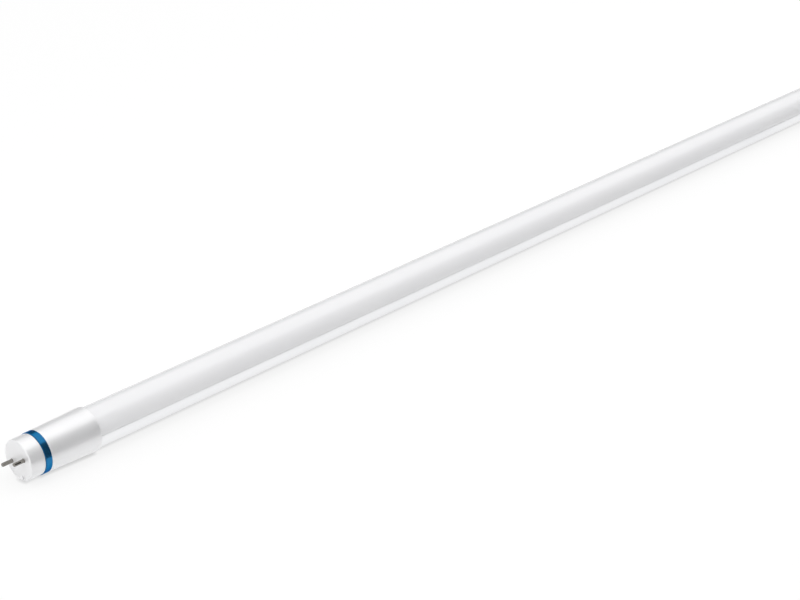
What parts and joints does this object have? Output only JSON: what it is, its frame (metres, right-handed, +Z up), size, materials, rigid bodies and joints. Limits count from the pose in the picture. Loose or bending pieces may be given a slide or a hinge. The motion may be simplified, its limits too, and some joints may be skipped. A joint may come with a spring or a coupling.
{
  "type": "led tube lamp",
  "caption": "Straight LED tube lamp with an opal half-round diffuser, an aluminium heat sink and bi-pin end caps that turn to aim the light.",
  "frame": {"origin": "on the tube's axis at mid-length", "axes": "+X along the tube, the end nearest in the picture at -X, +Z up through the middle of the diffuser"},
  "size_m": [1.2136, 0.028, 0.028],
  "materials": {
    "opal_polycarbonate": "satin opal",
    "anodised_aluminium": "satin anodised",
    "white_moulding": "glossy moulded",
    "blue_moulding": "glossy moulded",
    "plated_pin": "nickel plated",
    "screw_steel": "zinc plated",
    "white_board": "white solder mask",
    "led_phosphor": "phosphor gel",
    "green_board": "solder mask",
    "black_component": "moulded epoxy",
    "ferrite": "sintered",
    "copper_winding": "enamelled copper",
    "can_sleeve": "shrink sleeve",
    "film_box": "moulded box",
    "varistor_coat": "dipped epoxy",
    "fuse_body": "lacquered ceramic",
    "insulating_film": "polyester film",
    "wire_insulation": "silicone insulation",
    "link_housing": "moulded nylon"
  },
  "bodies": {
    "tube": {"diffuser": "opal_polycarbonate", "heat_sink": "anodised_aluminium", "led_board_near": "white_board", "led_board_far": "white_board", "near_led_packages": "led_phosphor", "far_led_packages": "led_phosphor", "board_link": "link_housing", "near_collar": "white_moulding", "near_ring": "blue_moulding", "near_collar_screws": "screw_steel", "far_collar": "white_moulding", "far_ring": "blue_moulding", "far_collar_screws": "screw_steel", "driver_board": "green_board", "insulating_strip": "insulating_film", "fuse_resistor": "fuse_body", "varistor": "varistor_coat", "bridge_rectifier": "black_component", "filter_choke_core": "ferrite", "filter_choke_coil": "copper_winding", "film_capacitors": "film_box", "bulk_capacitor": "can_sleeve", "controller_chip": "black_component", "transformer_core": "ferrite", "transformer_coil": "copper_winding", "output_capacitor": "can_sleeve", "supply_leads": "wire_insulation", "output_leads": "wire_insulation"},
    "near_end": {"near_cap": "white_moulding", "near_pins": "plated_pin"},
    "far_end": {"far_cap": "white_moulding", "far_pins": "plated_pin", "far_pin_link": "copper_winding"}
  },
  "joints": [
    {"name": "near_cap_turn", "type": "hinge", "parent": "tube", "child": "near_end", "pos_m": [-0.5997, 0, 0], "axis": [1, 0, 0], "range_deg": [-67.5, 112.5]},
    {"name": "far_cap_turn", "type": "hinge", "parent": "tube", "child": "far_end", "pos_m": [0.5997, 0, 0], "axis": [1, 0, 0], "range_deg": [-67.5, 112.5]}
  ]
}
